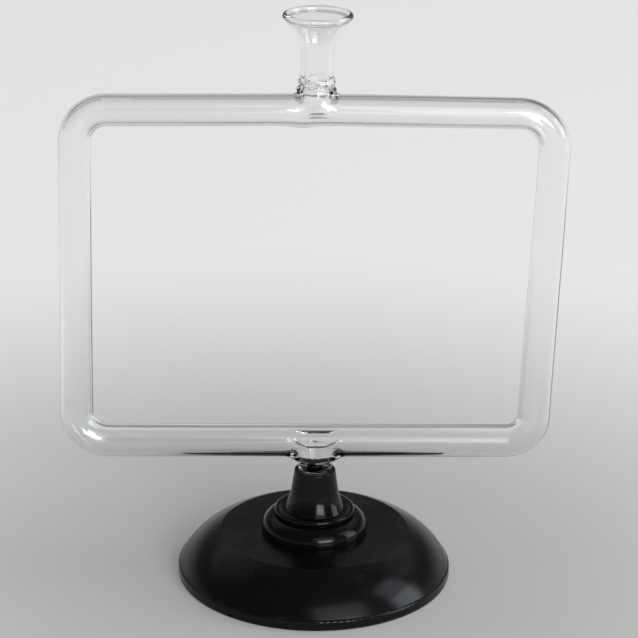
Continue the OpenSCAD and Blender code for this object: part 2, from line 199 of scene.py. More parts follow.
def loop_path():
    """The loop's centre line in [x, z] and its length: lines and arcs, clockwise from the funnel.

    The last value of each line and arc is the place along the loop where it starts.
    """
    middle = np.array([FUNNEL_X, TOP_Z])
    corners = [
        (np.array([RIGHT_REACH, TOP_Z - (RIGHT_REACH - FUNNEL_X) * tan_deg(FALL_RIGHT)]), BEND_TR),
        (np.array([RIGHT_REACH - (TOP_Z - BOTTOM_Z) * tan_deg(RIGHT_LEAN), BOTTOM_Z]), BEND_BR),
        (np.array([-LEFT_REACH - (TOP_Z - BOTTOM_Z) * tan_deg(LEFT_LEAN), BOTTOM_Z]), BEND_BL),
        (np.array([-LEFT_REACH, TOP_Z - (LEFT_REACH + FUNNEL_X) * tan_deg(FALL_LEFT)]), BEND_TL),
    ]
    points = [middle] + [c for c, _ in corners] + [middle]
    pieces, at, s = [], middle, 0.0
    for k, (corner, r) in enumerate(corners):
        u, v = unit(corner - points[k]), unit(points[k + 2] - corner)
        turn = math.acos(float(u @ v))
        cut = r * math.tan(turn / 2)
        end = corner - u * cut
        pieces.append(("line", at, end, s))
        s += float(np.linalg.norm(end - at))
        side = np.array([u[1], -u[0]])
        pieces.append(("arc", end + side * r, r, -side, u, turn, s))
        s += r * turn
        at = corner + v * cut
    pieces.append(("line", at, middle, s))
    return pieces, s + float(np.linalg.norm(middle - at))


PATH, PATH_L = loop_path()


def to_path(x, y, z):
    """Distance from the loop's centre line, the place along it, and the offset towards the loop's inside."""
    best = np.full(x.shape, FAR)
    along = np.zeros(x.shape)
    inner = np.zeros(x.shape)
    for piece in PATH:
        if piece[0] == "line":
            _, p, q, s0 = piece
            length = np.linalg.norm(q - p)
            u = (q - p) / length
            px, pz = x - p[0], z - p[1]
            t = np.clip(px * u[0] + pz * u[1], 0, length)
            d = (px - u[0] * t) ** 2 + (pz - u[1] * t) ** 2
            off = px * u[1] - pz * u[0]
        else:
            _, c, r, start, way, turn, s0 = piece
            px, pz = x - c[0], z - c[1]
            angle = np.arctan2(px * way[0] + pz * way[1], px * start[0] + pz * start[1])
            off = r - np.hypot(px, pz)
            d = np.where((angle >= 0) & (angle <= turn), off * off, FAR)
            t = angle * r
        closer = d < best
        best = np.where(closer, d, best)
        along = np.where(closer, s0 + t, along)
        inner = np.where(closer, off, inner)
    return np.sqrt(best + y * y), along, inner


def at_path(s):
    """Place and direction of the loop's centre line at s."""
    piece = [p for p in PATH if p[-1] <= s + TINY][-1]
    if piece[0] == "line":
        _, p, q, s0 = piece
        u = unit(q - p)
        return p + u * (s - s0), u
    _, c, r, start, way, _, s0 = piece
    a = (s - s0) / r
    return c + r * (start * math.cos(a) + way * math.sin(a)), way * math.cos(a) - start * math.sin(a)


def radius_table():
    """Outside radius and wall along the loop, every millimetre, with the slow unevenness of drawn tube."""
    s = np.linspace(0, PATH_L, int(PATH_L) + 1)
    starts = [p[-1] for p in PATH]
    knots = [0, starts[1], starts[2], starts[3], starts[5], starts[6], starts[7], PATH_L]
    limb = [R_TOP - LIMB_THIN_TOP, R_BOTTOM - LIMB_THIN_BOTTOM]
    radii = [R_TOP, R_TOP, *limb, R_BOTTOM, R_BOTTOM, R_TOP, R_TOP]
    radius = np.interp(s, knots, radii)
    kernel = np.hanning(EVENED)
    margin = EVENED // 2 + 1
    wide = np.concatenate([radius[-margin:], radius, radius[:margin]])
    radius = np.convolve(wide, kernel / kernel.sum(), "same")[margin:-margin]
    turn = 2 * math.pi * s / PATH_L
    return s, radius + waves(turn, RADIUS_WAVES), WALL + waves(turn, WALL_WAVES)


TABLE_S, TABLE_R, TABLE_WALL = radius_table()


def ring_lump(x, y, z, centre, ring_r, thick, lobes):
    """Distance from a level ring of glass whose thickness and height vary round the ring."""
    px, py, pz = x - centre[0], y - centre[1], z - centre[2]
    angle = np.arctan2(py, px)
    r = np.full(x.shape, thick)
    lift = np.zeros(x.shape)
    for n, size, phase in lobes:
        r = r + size * np.cos(n * angle + phase)
        lift = lift + LOBE_LIFT * size * np.sin(n * angle + LOBE_SHIFT * phase)
    return np.hypot(np.hypot(px, py) - ring_r, pz - lift) - r


def glass_distance(x, y, z):
    """Distance from the whole glass loop: tube, neck, funnel, both seals and the stem."""
    d, s, inner = to_path(x, y, z)
    radius = np.interp(s, TABLE_S, TABLE_R)
    wall = np.interp(s, TABLE_S, TABLE_WALL)
    # Fine streaks along the tube, left by the drawing of the glass
    angle = np.arctan2(y, inner)
    drift = 2 * math.pi * s / PATH_L
    for n, size, phase, twist in STREAKS:
        wall = wall + size * np.cos(n * angle + phase + twist * drift)
    near_top = np.clip(0.5 - 0.5 * (z - TOP_Z) / R_TOP, 0, 1)
    swell = SWELL_RISE * np.exp(-(((x - SWELL_X) / (SWELL_WIDTH * SWELL_REACH)) ** 2)) * near_top
    swell = np.where(z > (TOP_Z + BOTTOM_Z) / 2, swell, 0.0)
    outer = d - radius - swell
    bore = d - (radius - wall) - SWELL_IN_BORE * swell

    # Neck and funnel
    from_neck = np.hypot(x - FUNNEL_X, y)
    to_curve = np.hypot(FLARE_X - from_neck, z - NECK_TOP)
    above = z > NECK_TOP
    side = np.where(above, FLARE_R - to_curve, from_neck - NECK_R)
    hollow = np.where(above, FLARE_R + WALL - to_curve, from_neck - (NECK_R - WALL))
    foot = TOP_Z - z
    neck = np.maximum(side, foot)
    neck_bore = np.maximum(hollow, foot + NECK_BORE_RISE)
    outer = smooth_min(outer, neck, NECK_FILLET)
    bore = smooth_min(bore, neck_bore, NECK_BORE_FILLET)
    for ring_z, reach, thick, lobes in SEAL_RINGS:
        ring = ring_lump(x, y, z, (FUNNEL_X, 0, ring_z), reach, thick, lobes)
        outer = smooth_min(outer, ring, RING_FILLET)
    for ring_z, reach, thick, lobes in BORE_RINGS:
        ring = ring_lump(x, y, z, (FUNNEL_X, 0, ring_z), reach, thick, lobes)
        bore = smooth_max(bore, -ring, BORE_RING_FILLET)

    # Stem seal and stem
    r = np.hypot(x, y)
    height = z - PILLAR_TOP
    share = np.clip(height / CONE_H, 0, CONE_RUN_ON)
    cone_r = FOOT_R + (CONE_TOP_R - FOOT_R) * share
    cone = np.maximum((r - cone_r) * CONE_COS, z - BOTTOM_Z)
    share = np.clip((height - CONE_BORE_START) / CONE_BORE_H, 0, CONE_RUN_ON)
    cone_r = (STEM_R - STEM_WALL) + (CONE_BORE_TOP_R - STEM_R + STEM_WALL) * share
    cone_bore = np.maximum((r - cone_r) * CONE_BORE_COS, CONE_BORE_START - height)
    cone_bore = np.maximum(cone_bore, z - BOTTOM_Z)
    outer = smooth_min(outer, cone, CONE_FILLET)
    for ring_z, reach, thick, lobes in FOOT_RINGS:
        ring = ring_lump(x, y, z, (0, 0, ring_z), reach, thick, lobes)
        outer = smooth_min(outer, ring, FOOT_RING_FILLET)
    outer = smooth_max(outer, FOOT_GAP - height, FOOT_FILLET)
    to_stem = np.where(z < TIP_Z, np.sqrt(r * r + (z - TIP_Z) ** 2), r)
    stem = np.maximum(to_stem - STEM_R, z - BOTTOM_Z)
    stem_bore = np.maximum(to_stem - (STEM_R - STEM_WALL), z - BOTTOM_Z)
    stem_bore = smooth_min(cone_bore, stem_bore, CONE_BORE_FILLET)
    bore = smooth_min(bore, stem_bore, STEM_BORE_FILLET)
    outer = smooth_min(outer, stem, STEM_FILLET)

    # The bore taken out, the funnel cut off at its angle, and the melted lip on that cut
    glass = smooth_max(outer, -bore, EDGE_FILLET)
    slant, rise = math.cos(math.radians(FLARE_ANGLE)), math.sin(math.radians(FLARE_ANGLE))
    end = (z - NECK_TOP) * slant - (FLARE_X - from_neck) * rise
    glass = np.maximum(glass, np.where(above, end, -FAR))
    lip = np.hypot(from_neck - LIP_X, z - LIP_Z) - LIP_R
    return smooth_min(glass, lip, LIP_FILLET)


def gradient(p, step=0.02):
    """Slope of the glass's distance at points, by differences over a step each way."""
    g = np.empty_like(p)
    for k in range(3):
        e = np.zeros(3)
        e[k] = step
        a, b = p + e, p - e
        g[:, k] = (glass_distance(*a.T) - glass_distance(*b.T)) / (2 * step)
    return g


def on_surface(points, rounds=3, held=None):
    """Moves points onto the glass's surface; held names an axis that they keep their place on."""
    for _ in range(rounds):
        value = glass_distance(*points.T)
        g = gradient(points)
        if held is not None:
            g[np.arange(len(points)), held] = 0.0
        move = value / np.maximum((g * g).sum(1), LEAST_SLOPE)
        points = points - g * np.clip(move, -LONGEST_MOVE, LONGEST_MOVE)[:, None]
    return points


def surface_net(xs, ys, zs):
    """Quads round the glass's surface on a grid, left open where the grid ends."""
    v = np.empty((len(xs), len(ys), len(zs)))
    for i, x in enumerate(xs):
        gy, gz = np.meshgrid(ys, zs, indexing="ij")
        v[i] = glass_distance(np.full(gy.shape, x), gy, gz)
    neg = v < 0
    shape = np.array(v.shape)
    total = np.zeros((*(shape - 1), 3))
    count = np.zeros(shape - 1)
    axes = (xs, ys, zs)
    crossings = []
    for axis in range(3):
        lo, hi = [slice(None)] * 3, [slice(None)] * 3
        lo[axis], hi[axis] = slice(0, -1), slice(1, None)
        a, b = v[tuple(lo)], v[tuple(hi)]
        idx = np.array(np.nonzero(neg[tuple(lo)] != neg[tuple(hi)]))
        va, vb = a[tuple(idx)], b[tuple(idx)]
        pos = np.stack([axes[n][idx[n]] for n in range(3)], 1)
        pos[:, axis] += va / (va - vb) * (axes[axis][idx[axis] + 1] - axes[axis][idx[axis]])
        crossings.append((idx, va < 0))
        o1, o2 = [n for n in range(3) if n != axis]
        for s1, s2 in ((0, 0), (0, -1), (-1, 0), (-1, -1)):
            c = idx.copy()
            c[o1] += s1
            c[o2] += s2
            ok = ((c >= 0) & (c < (shape - 1)[:, None])).all(0)
            np.add.at(total, tuple(c[:, ok]), pos[ok])
            np.add.at(count, tuple(c[:, ok]), 1)
    used = count > 0
    number = np.full(used.shape, -1)
    number[used] = np.arange(int(used.sum()))
    quads = []
    for axis, (idx, inside_first) in enumerate(crossings):
        o1, o2 = [(1, 2), (2, 0), (0, 1)][axis]
        inner = (idx[o1] > 0) & (idx[o2] > 0) & (idx[o1] < shape[o1] - 1) & (idx[o2] < shape[o2] - 1)
        corner = []
        for s1, s2 in ((-1, -1), (0, -1), (0, 0), (-1, 0)):
            c = idx[:, inner].copy()
            c[o1] += s1
            c[o2] += s2
            corner.append(number[tuple(c)])
        q = np.stack(corner, 1)
        flip = ~inside_first[inner]
        q[flip] = q[flip][:, ::-1]
        quads.append(q)
    quads = np.concatenate(quads)
    points = total[used] / count[used][:, None]
    kept = np.unique(quads)
    number = np.full(len(points), -1)
    number[kept] = np.arange(len(kept))
    return points[kept], number[quads]


def edge_list(quads):
    """Every edge of the quads once, and how many quads use it."""
    edges = np.concatenate([quads[:, [a, (a + 1) % 4]] for a in range(4)])
    return np.unique(np.sort(edges, 1), axis=0, return_counts=True)


def open_loops(points, quads, planes):
    """Closed chains of the net's open edges, all of them and by the axis that they keep their place on.

    Each chain is laid flat in the nearest of the planes, which are given as an axis and a place on it.
    """
    edges, uses = edge_list(quads)
    follow = {}
    for a, b in edges[uses == 1]:
        follow.setdefault(int(a), []).append(int(b))
        follow.setdefault(int(b), []).append(int(a))
    loops = []
    while follow:
        chain = [min(follow)]
        while True:
            ways = [n for n in follow.pop(chain[-1]) if n in follow]
            if not ways:
                break
            chain.append(ways[0])
        loops.append(np.array(chain))
    held = {}
    for loop in loops:
        p = points[loop]
        axis, place = min(planes, key=lambda plane: np.abs(p[:, plane[0]] - plane[1]).max())
        points[loop, axis] = place
        held[axis] = held.get(axis, []) + [loop]
    return loops, held


def junction(xs, ys, zs, planes, rounds=6):
    """The glass's surface round a seal, evened out, with its open ends flat in the planes."""
    points, quads = surface_net(xs, ys, zs)
    loops, held = open_loops(points, quads, planes)
    edges, _ = edge_list(quads)
    degree = np.zeros(len(points))
    np.add.at(degree, edges.ravel(), 1)
    fixed = np.concatenate(loops)
    for k in range(rounds + 1):
        moved = on_surface(points, 2)
        for axis, chains in held.items():
            for chain in chains:
                moved[chain] = on_surface(points[chain], 2, axis)
        points = moved
        if k == rounds:
            break
        # Each point goes half way to the middle of its neighbours, and then back onto the surface
        total = np.zeros_like(points)
        np.add.at(total, edges[:, 0], points[edges[:, 1]])
        np.add.at(total, edges[:, 1], points[edges[:, 0]])
        step = 0.5 * (total / degree[:, None] - points)
        step[fixed] = 0
        points = points + step
    return points, quads, loops


def zip_loops(points, a, b, axis):
    """Triangles between two closed rings of points round the same axis direction."""
    across = [n for n in range(3) if n != axis]
    order = []
    for ring in (a, b):
        p = points[ring][:, across]
        middle = (p.min(0) + p.max(0)) / 2
        angle = np.arctan2(p[:, 1] - middle[1], p[:, 0] - middle[0])
        if np.median(np.diff(np.unwrap(angle))) < 0:
            ring, angle = ring[::-1], angle[::-1]
        first = int(np.argmin(angle))
        angle = np.unwrap(np.roll(angle, -first))
        order.append((np.roll(ring, -first), angle))
    (a, a_angle), (b, b_angle) = order
    faces, i, j = [], 0, 0
    full = 2 * math.pi
    while i < len(a) or j < len(b):
        next_a = a_angle[i + 1] if i + 1 < len(a) else a_angle[0] + full
        next_b = b_angle[j + 1] if j + 1 < len(b) else b_angle[0] + full
        if j >= len(b) or (i < len(a) and next_a <= next_b):
            faces.append((a[i % len(a)], a[(i + 1) % len(a)], b[j % len(b)]))
            i += 1
        else:
            faces.append((a[i % len(a)], b[(j + 1) % len(b)], b[j % len(b)]))
            j += 1
    return np.array(faces)


def ring_strip(first, rings, count):
    """Quads between rings of count points each, numbered from first."""
    k = np.arange(count)
    faces = []
    for n in range(rings - 1):
        a = first + n * count
        b = a + count
        faces.append(np.stack([a + k, a + (k + 1) % count, b + (k + 1) % count, b + k], 1))
    return np.concatenate(faces)


COS_ROUND = np.cos(2 * math.pi * np.arange(ROUND) / ROUND)
SIN_ROUND = np.sin(2 * math.pi * np.arange(ROUND) / ROUND)


def tube_points(s_first, s_last, bore):
    """Rings of points along one surface of the loop's tube."""
    stations = [s_first]
    stops = sorted([p[-1] for p in PATH if s_first < p[-1] < s_last] + [s_last])
    for stop in stops:
        piece = [p for p in PATH if p[-1] <= (stations[-1] + stop) / 2][-1]
        step = TUBE_STEP if piece[0] == "line" else BEND_STEP
        n = max(1, round((stop - stations[-1]) / step))
        stations += list(np.linspace(stations[-1], stop, n + 1)[1:])
    out = []
    for s in stations:
        place, u = at_path(s)
        r = np.interp(s, TABLE_S, TABLE_R) - (np.interp(s, TABLE_S, TABLE_WALL) if bore else 0.0)
        side = np.array([u[1], -u[0]])
        ring = np.empty((ROUND, 3))
        ring[:, 0] = place[0] + r * COS_ROUND * side[0]
        ring[:, 1] = r * SIN_ROUND
        ring[:, 2] = place[1] + r * COS_ROUND * side[1]
        out.append(ring)
    return np.concatenate(out), len(stations)


def turned_points(profile, middle_x):
    """Rings of points round a vertical axis, one for each [radius, height] of the profile."""
    out = []
    for r, z in profile:
        ring = np.empty((ROUND, 3))
        ring[:, 0] = middle_x + r * COS_ROUND
        ring[:, 1] = r * SIN_ROUND
        ring[:, 2] = z
        out.append(ring)
    return np.concatenate(out), len(profile)


def arc_profile(middle, r, first, last, count):
    """Points of an arc in [radius, height], by its angles in degrees."""
    a = np.radians(np.linspace(first, last, count))
    return [[middle[0] + r * math.cos(t), middle[1] + r * math.sin(t)] for t in a]


class Shell:
    """Points and faces of a growing mesh, whose faces look out of the glass."""

    def __init__(self):
        self.points = np.zeros((0, 3))
        self.faces = []

    def add(self, points, faces):
        """Adds points and the faces between them, and returns the first point's number."""
        first = len(self.points)
        self.points = np.concatenate([self.points, points])
        self.look_out(faces + first)
        return first

    def look_out(self, faces):
        """Adds faces, turned round together if they look into the glass."""
        p = self.points[faces]
        across = np.cross(p[:, 1] - p[:, 0], p[:, 2] - p[:, 0])
        if (across * gradient(p.mean(1))).sum() < 0:
            faces = faces[:, ::-1]
        self.faces.append(faces)

    def strip(self, points, rings):
        """Adds rings of points, moved onto the surface, and returns the first and the last ring."""
        first = self.add(on_surface(points), ring_strip(0, rings, ROUND))
        last = first + (rings - 1) * ROUND
        return np.arange(first, first + ROUND), np.arange(last, last + ROUND)

    def join(self, a, b, axis):
        """Zips two rings together."""
        self.look_out(zip_loops(self.points, a, b, axis))

    def close(self, ring, pole):
        """Closes a ring with triangles that meet at the pole."""
        first = len(self.points)
        self.points = np.concatenate([self.points, np.array([pole])])
        self.look_out(np.stack([ring, np.roll(ring, -1), np.full(len(ring), first)], 1))


class Seal:
    """The net round one seal as a part of a shell: two ends that face the tube, and one upright."""

    def __init__(self, shell, xs, ys, zs, upright):
        half = NET_STEP / 2
        self.shell = shell
        self.ends = [(X_AXIS, xs[0] + half), (X_AXIS, xs[-1] - half), (Z_AXIS, upright)]
        points, quads, self.loops = junction(xs, ys, zs, self.ends)
        self.first = shell.add(points, quads)

    def ring(self, end, bore, middle):
        """The open ring at one end, on the bore's side or the outside, about its middle."""
        axis, place = self.ends[end]
        across = [n for n in range(3) if n != axis]
        found = []
        for loop in self.loops:
            p = self.shell.points[self.first + loop]
            if np.abs(p[:, axis] - place).max() < SAME_PLACE:
                found.append((float(np.hypot(*(p[:, across] - middle).T).mean()), loop))
        found.sort(key=lambda f: f[0])
        return self.first + (found[0] if bore else found[-1])[1]


def even(lo, hi, step):
    """Places from lo to hi, as near to a step apart as fits."""
    return np.linspace(lo, hi, round((hi - lo) / step) + 1)


def build_glass():
    """The closed surface of the whole glass loop, with its bore."""
    shell = Shell()
    h = NET_STEP
    xs = np.arange(FUNNEL_X - FILLER_HALF - h / 2, FUNNEL_X + FILLER_HALF + h, h)
    zs = np.arange(TOP_Z - NET_PAST, NET_TOP + h, h)
    filler = Seal(shell, xs, even(-FILLER_DEEP, FILLER_DEEP, h), zs, zs[-1] - h / 2)
    xs = np.arange(-STEM_HALF - h / 2, STEM_HALF + h, h)
    zs = np.arange(NET_BOTTOM, BOTTOM_Z + NET_PAST, h)
    stem = Seal(shell, xs, even(-STEM_DEEP, STEM_DEEP, h), zs, zs[0] + h / 2)

    # The tube on the right and on the left of the two seals, outside and in the bore
    bottom_x, bottom_s = PATH[4][1][0], PATH[4][-1]
    right_s = (filler.ends[RIGHT][1] - FUNNEL_X) / math.cos(math.radians(FALL_RIGHT)) + ZIP
    left_s = PATH_L - (FUNNEL_X - filler.ends[LEFT][1]) / math.cos(math.radians(FALL_LEFT)) - ZIP
    stem_right_s = bottom_s + bottom_x - stem.ends[RIGHT][1] - ZIP
    stem_left_s = bottom_s + bottom_x - stem.ends[LEFT][1] + ZIP
    right_z, left_z = at_path(right_s)[0][1], at_path(left_s)[0][1]
    for bore in (False, True):
        a, b = shell.strip(*tube_points(right_s, stem_right_s, bore))
        shell.join(filler.ring(RIGHT, bore, (0, right_z)), a, X_AXIS)
        shell.join(stem.ring(RIGHT, bore, (0, BOTTOM_Z)), b, X_AXIS)
        a, b = shell.strip(*tube_points(stem_left_s, left_s, bore))
        shell.join(stem.ring(LEFT, bore, (0, BOTTOM_Z)), a, X_AXIS)
        shell.join(filler.ring(LEFT, bore, (0, left_z)), b, X_AXIS)

    # Neck, flare, lip and the same way down inside
    neck_zs = even(filler.ends[UPRIGHT][1] + ZIP, NECK_TOP, NECK_STEP)
    curve = (FLARE_X, NECK_TOP)
    flare_end = 180 - FLARE_ANGLE + FLARE_SHORT
    profile = [[NECK_R, z] for z in neck_zs]
    profile += arc_profile(curve, FLARE_R, 180, flare_end, ARC_POINTS)[1:]
    profile += arc_profile((LIP_X, LIP_Z), LIP_R, LIP_FROM, LIP_TO, ARC_POINTS)
    profile += arc_profile(curve, FLARE_R + WALL, flare_end, 180, ARC_POINTS)
    profile += [[NECK_R - WALL, z] for z in neck_zs[::-1]][1:]
    a, b = shell.strip(*turned_points(profile, FUNNEL_X))
    shell.join(filler.ring(UPRIGHT, False, (FUNNEL_X, 0)), a, Z_AXIS)
    shell.join(filler.ring(UPRIGHT, True, (FUNNEL_X, 0)), b, Z_AXIS)

    # Stem below the seal, closed by two round ends
    stem_zs = even(TIP_Z, stem.ends[UPRIGHT][1] - ZIP, STEM_STEP)
    for bore, r in ((False, STEM_R), (True, STEM_R - STEM_WALL)):
        profile = [[r, z] for z in stem_zs[::-1]]
        profile += arc_profile((0, TIP_Z), r, 0, TIP_TO, TIP_POINTS)[1:]
        a, b = shell.strip(*turned_points(profile, 0.0))
        shell.join(stem.ring(UPRIGHT, bore, (0, 0)), a, Z_AXIS)
        shell.close(b, (0, 0, TIP_Z - r))
    return shell


def mesh_object(name, points, faces, normals):
    """A smooth mesh from points in millimetres and groups of faces."""
    mesh = bpy.data.meshes.new(name)
    mesh.vertices.add(len(points))
    mesh.vertices.foreach_set("co", (points * MM).astype(np.float32).ravel())
    corners = np.concatenate([group.ravel() for group in faces])
    sizes = np.concatenate([np.full(len(group), group.shape[1]) for group in faces])
    mesh.loops.add(len(corners))
    mesh.loops.foreach_set("vertex_index", corners.astype(np.int32))
    mesh.polygons.add(len(sizes))
    mesh.polygons.foreach_set("loop_start", (np.cumsum(sizes) - sizes).astype(np.int32))
    mesh.update(calc_edges=True)
    mesh.validate()
    mesh.shade_smooth()
    mesh.normals_split_custom_set_from_vertices(normals.astype(np.float32))
    obj = bpy.data.objects.new(name, mesh)
    scene.collection.objects.link(obj)
    return obj


GLASS_NODES = [n for n in frame["nodes"] if frame["nodes"][n]["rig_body"] == "glass"]
shell = build_glass()
normals = gradient(shell.points)
normals /= np.linalg.norm(normals, axis=1)[:, None]
glass = mesh_object("glass_loop", shell.points, shell.faces, normals)
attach(glass, "glass")
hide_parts(*GLASS_NODES)


# Materials

# Colours, each from 0 to 1 in red, green and blue, and the glass's index of refraction
GLASS_TINT, GLASS_IOR = (0.965, 0.975, 0.97), 1.48
WOOD_BLACK, WOOD_PORE = (0.0026, 0.0024, 0.0023), (0.001, 0.001, 0.001)
WOOD_BROWN, WOOD_WORN = (0.0052, 0.0045, 0.0038), (0.018, 0.014, 0.012)
DUST = (0.08, 0.078, 0.075)
CORK_DARK, CORK_LIGHT, CORK_PIT = (0.014, 0.01, 0.008), (0.034, 0.024, 0.017), (0.004, 0.003, 0.003)
BRASS_BRIGHT, BRASS_OLD = (0.66, 0.44, 0.17), (0.3, 0.17, 0.07)
# Edges that handling has worn: radius, height and reach in millimetres
BASE_EDGES = [(71.15, 5.2, 1.6), (70.4, 6.0, 1.0), (49.0, 24.0, 1.3), (71.15, 0.8, 1.4)]
PILLAR_EDGES = [(10.7, 57.6, 1.0), (20.9, 35.1, 1.3), (27.6, 26.5, 2.6)]
# The share of an edge's reach over which it is fully worn
WORN_CORE = 0.35


def new_material(name):
    """A material, its node tree and its shader."""
    material = bpy.data.materials.new(name)
    material.use_nodes = True
    tree = material.node_tree
    return material, tree, tree.nodes["Principled BSDF"]


def node(tree, kind, inputs=None, **settings):
    """Adds a node; inputs are values or the sockets that feed them."""
    n = tree.nodes.new(kind)
    for key, value in settings.items():
        setattr(n, key, value)
    for key, value in (inputs or {}).items():
        if isinstance(value, bpy.types.NodeSocket):
            tree.links.new(value, n.inputs[key])
        else:
            n.inputs[key].default_value = value
    return n


def math_node(tree, operation, a, b=0.0, c=0.0):
    return node(tree, "ShaderNodeMath", {0: a, 1: b, 2: c}, operation=operation).outputs[0]


def product(tree, a, b):
    return math_node(tree, "MULTIPLY", a, b)


def scaled(tree, vector, scale):
    """A vector with each part multiplied by a scale of its own."""
    return node(tree, "ShaderNodeVectorMath", {0: vector, 1: scale}, operation="MULTIPLY").outputs["Vector"]


def ramp(tree, value, low, high, out_low=0.0, out_high=1.0):
    """Smooth step of a value from one range to another."""
    inputs = {"Value": value, "From Min": low, "From Max": high, "To Min": out_low, "To Max": out_high}
    return node(tree, "ShaderNodeMapRange", inputs, interpolation_type="SMOOTHSTEP").outputs["Result"]


def noise(tree, vector, scale, detail=2.0, roughness=0.5):
    """Noise from 0 to 1, with its scale in periods for each metre."""
    inputs = {"Vector": vector, "Scale": scale, "Detail": detail, "Roughness": roughness}
    return node(tree, "ShaderNodeTexNoise", inputs).outputs["Fac"]


def mix_colour(tree, factor, a, b):
    """Colour a where the factor is 0 and b where it is 1."""
    n = node(tree, "ShaderNodeMix", data_type="RGBA")
    for socket, value in ((n.inputs["Factor"], factor), (n.inputs[6], a), (n.inputs[7], b)):
        if isinstance(value, bpy.types.NodeSocket):
            tree.links.new(value, socket)
        else:
            socket.default_value = (*value, 1) if socket.type == "RGBA" else value
    return n.outputs[2]


def bump(tree, height, distance, strength, normal=None):
    """A normal bent by a height, on top of another bent normal if one is given."""
    inputs = {"Height": height, "Distance": distance, "Strength": strength}
    if normal is not None:
        inputs["Normal"] = normal
    return node(tree, "ShaderNodeBump", inputs).outputs["Normal"]


def place_nodes(tree):
    """The place on the object in metres, its distance from the turning axis and its height."""
    place = node(tree, "ShaderNodeTexCoord").outputs["Object"]
    flat = scaled(tree, place, (1.0, 1.0, 0.0))
    radius = node(tree, "ShaderNodeVectorMath", {0: flat}, operation="LENGTH").outputs["Value"]
    height = node(tree, "ShaderNodeSeparateXYZ", {0: place}).outputs["Z"]
    return place, radius, height


def turning_marks(tree, radius, height, scale, roughness):
    """Noise that runs round the turning axis, as a lathe leaves it."""
    place = node(tree, "ShaderNodeCombineXYZ", {"X": radius, "Z": height}).outputs["Vector"]
    return noise(tree, place, scale, detail=2.0, roughness=roughness)


def ring_mask(tree, radius, height, ring_r, ring_z, reach):
    """One near a circle round the turning axis and zero past its reach, which are in millimetres."""
    dr = math_node(tree, "SUBTRACT", radius, ring_r * MM)
    dz = math_node(tree, "SUBTRACT", height, ring_z * MM)
    square = math_node(tree, "ADD", product(tree, dr, dr), product(tree, dz, dz))
    distance = math_node(tree, "SQRT", square)
    return ramp(tree, distance, reach * WORN_CORE * MM, reach * MM, out_low=1.0, out_high=0.0)


def glass_material():
    """Clear drawn glass with the faint smears of handling."""
    material, tree, shader = new_material("clear_glass")
    shader.inputs["Base Color"].default_value = (*GLASS_TINT, 1)
    shader.inputs["Transmission Weight"].default_value = 1.0
    shader.inputs["IOR"].default_value = GLASS_IOR
    place, _, _ = place_nodes(tree)
    smear = noise(tree, place, scale=55.0, detail=3.0)
    rough = ramp(tree, smear, 0.5, 0.8, out_low=0.0, out_high=0.03)
    tree.links.new(rough, shader.inputs["Roughness"])
    return material


def wood_material(name, grain_scale, gloss, edges, dustiness, specular):
    """Ebonised and polished turned wood: near black, with grain, turning marks, dust and worn edges."""
    material, tree, shader = new_material(name)
    place, radius, height = place_nodes(tree)
    grain = noise(tree, scaled(tree, place, grain_scale), scale=1.0, detail=4.0, roughness=0.6)
    pores = ramp(tree, grain, 0.58, 0.7)
    turning = turning_marks(tree, radius, height, scale=900.0, roughness=0.7)
    cloud = noise(tree, place, scale=38.0, detail=4.0, roughness=0.6)
    speck = noise(tree, place, scale=1500.0, detail=1.0)
    # Dust lies on faces that look up, worn places on the edges
    normal = node(tree, "ShaderNodeNewGeometry").outputs["Normal"]
    facing = node(tree, "ShaderNodeSeparateXYZ", {0: normal}).outputs["Z"]
    level = ramp(tree, facing, 0.55, 0.98)
    dust = product(tree, level, ramp(tree, product(tree, cloud, speck), 0.25, 0.42))
    wear = None
    for ring_r, ring_z, reach in edges:
        mask = ring_mask(tree, radius, height, ring_r, ring_z, reach)
        wear = mask if wear is None else math_node(tree, "MAXIMUM", wear, mask)
    rubbed = noise(tree, place, scale=210.0, detail=4.0, roughness=0.65)
    wear = product(tree, wear, ramp(tree, rubbed, 0.5, 0.72))
    colour = mix_colour(tree, pores, WOOD_BLACK, WOOD_PORE)
    colour = mix_colour(tree, product(tree, cloud, 0.5), colour, WOOD_BROWN)
    colour = mix_colour(tree, product(tree, wear, 0.5), colour, WOOD_WORN)
    colour = mix_colour(tree, product(tree, dust, dustiness), colour, DUST)
    tree.links.new(colour, shader.inputs["Base Color"])
    rough = ramp(tree, cloud, 0.3, 0.75, out_low=gloss[0], out_high=gloss[1])
    rough = math_node(tree, "MULTIPLY_ADD", dust, 0.08, rough)
    tree.links.new(rough, shader.inputs["Roughness"])
    shader.inputs["Specular IOR Level"].default_value = specular
    bent = bump(tree, turning, distance=0.00001, strength=0.2)
    bent = bump(tree, pores, distance=0.00002, strength=-0.12, normal=bent)
    tree.links.new(bent, shader.inputs["Normal"])
    return material


def cork_material():
    """Cut cork, stained black with the wood: dark pits and a fine open grain."""
    material, tree, shader = new_material("sleeve_cork")
    place, _, _ = place_nodes(tree)
    cells = node(tree, "ShaderNodeTexVoronoi", {"Vector": place, "Scale": 1100.0}).outputs["Distance"]
    cloud = noise(tree, place, scale=260.0, detail=4.0, roughness=0.65)
    pits = ramp(tree, noise(tree, place, scale=620.0, detail=2.0), 0.6, 0.68)
    colour = mix_colour(tree, cloud, CORK_DARK, CORK_LIGHT)
    colour = mix_colour(tree, product(tree, pits, 0.85), colour, CORK_PIT)
    tree.links.new(colour, shader.inputs["Base Color"])
    rough = ramp(tree, cloud, 0.3, 0.7, out_low=0.75, out_high=0.92)
    tree.links.new(rough, shader.inputs["Roughness"])
    shader.inputs["Specular IOR Level"].default_value = 0.2
    height = math_node(tree, "SUBTRACT", cells, product(tree, pits, 1.5))
    tree.links.new(bump(tree, height, distance=0.00012, strength=0.6), shader.inputs["Normal"])
    return material


